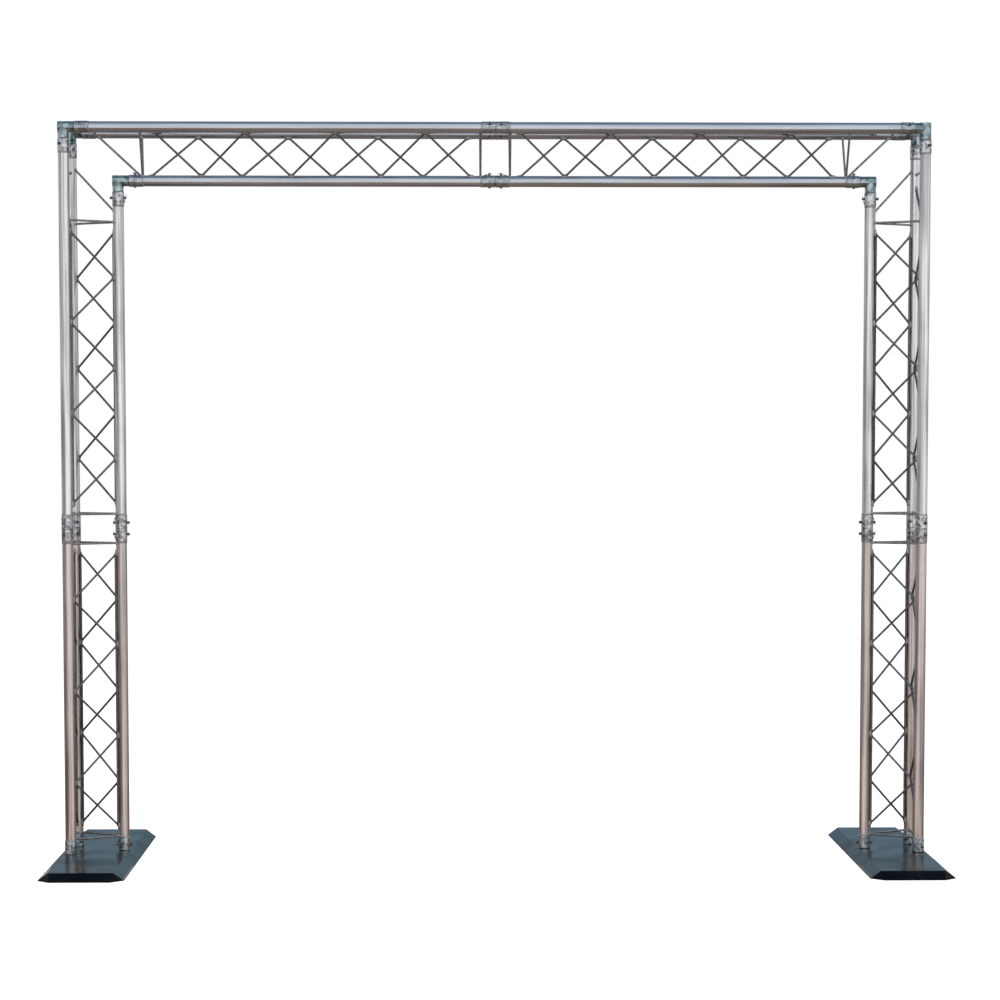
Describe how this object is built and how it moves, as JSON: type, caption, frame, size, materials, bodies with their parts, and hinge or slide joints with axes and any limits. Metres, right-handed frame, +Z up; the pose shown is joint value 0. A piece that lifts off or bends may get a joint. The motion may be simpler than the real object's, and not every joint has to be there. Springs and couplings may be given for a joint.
{
  "type": "truss goal post",
  "caption": "Free-standing gate of triangular truss: pinned leg and beam sections, square corner elbows and long bevelled floor plates, for hanging stage lights or a banner.",
  "frame": {"origin": "on the floor, midway between the two base plates and midway from front to back", "axes": "+X to the right across the gate, +Y to the back, +Z up"},
  "size_m": [2.8282, 1.068, 2.3494],
  "materials": {
    "tube_aluminium": "drawn tube, satin",
    "bar_aluminium": "bent round bar, satin",
    "elbow_aluminium": "machined, bright",
    "coupler_metal": "machined, zinc plated pins",
    "plate_steel": "glossy grey"
  },
  "bodies": {
    "root": {"beam_back_coupler": "coupler_metal", "beam_bottom_coupler": "coupler_metal", "beam_front_coupler": "coupler_metal", "left_back_elbow": "elbow_aluminium", "left_base_plate": "plate_steel", "left_beam_back_chord": "tube_aluminium", "left_beam_back_lacing": "bar_aluminium", "left_beam_bottom_chord": "tube_aluminium", "left_beam_front_chord": "tube_aluminium", "left_beam_front_lacing": "bar_aluminium", "left_beam_top_lacing": "bar_aluminium", "left_foot_back_coupler": "coupler_metal", "left_foot_front_coupler": "coupler_metal", "left_foot_inner_coupler": "coupler_metal", "left_front_elbow": "elbow_aluminium", "left_inner_elbow": "elbow_aluminium", "left_leg_back_coupler": "coupler_metal", "left_leg_front_coupler": "coupler_metal", "left_leg_inner_coupler": "coupler_metal", "left_lower_leg_back_chord": "tube_aluminium", "left_lower_leg_back_lacing": "bar_aluminium", "left_lower_leg_front_chord": "tube_aluminium", "left_lower_leg_front_lacing": "bar_aluminium", "left_lower_leg_inner_chord": "tube_aluminium", "left_lower_leg_outer_lacing": "bar_aluminium", "left_upper_leg_back_chord": "tube_aluminium", "left_upper_leg_back_lacing": "bar_aluminium", "left_upper_leg_front_chord": "tube_aluminium", "left_upper_leg_front_lacing": "bar_aluminium", "left_upper_leg_inner_chord": "tube_aluminium", "left_upper_leg_outer_lacing": "bar_aluminium", "right_back_elbow": "elbow_aluminium", "right_base_plate": "plate_steel", "right_beam_back_chord": "tube_aluminium", "right_beam_back_lacing": "bar_aluminium", "right_beam_bottom_chord": "tube_aluminium", "right_beam_front_chord": "tube_aluminium", "right_beam_front_lacing": "bar_aluminium", "right_beam_top_lacing": "bar_aluminium", "right_foot_back_coupler": "coupler_metal", "right_foot_front_coupler": "coupler_metal", "right_foot_inner_coupler": "coupler_metal", "right_front_elbow": "elbow_aluminium", "right_inner_elbow": "elbow_aluminium", "right_leg_back_coupler": "coupler_metal", "right_leg_front_coupler": "coupler_metal", "right_leg_inner_coupler": "coupler_metal", "right_lower_leg_back_chord": "tube_aluminium", "right_lower_leg_back_lacing": "bar_aluminium", "right_lower_leg_front_chord": "tube_aluminium", "right_lower_leg_front_lacing": "bar_aluminium", "right_lower_leg_inner_chord": "tube_aluminium", "right_lower_leg_outer_lacing": "bar_aluminium", "right_upper_leg_back_chord": "tube_aluminium", "right_upper_leg_back_lacing": "bar_aluminium", "right_upper_leg_front_chord": "tube_aluminium", "right_upper_leg_front_lacing": "bar_aluminium", "right_upper_leg_inner_chord": "tube_aluminium", "right_upper_leg_outer_lacing": "bar_aluminium"}
  },
  "joints": []
}
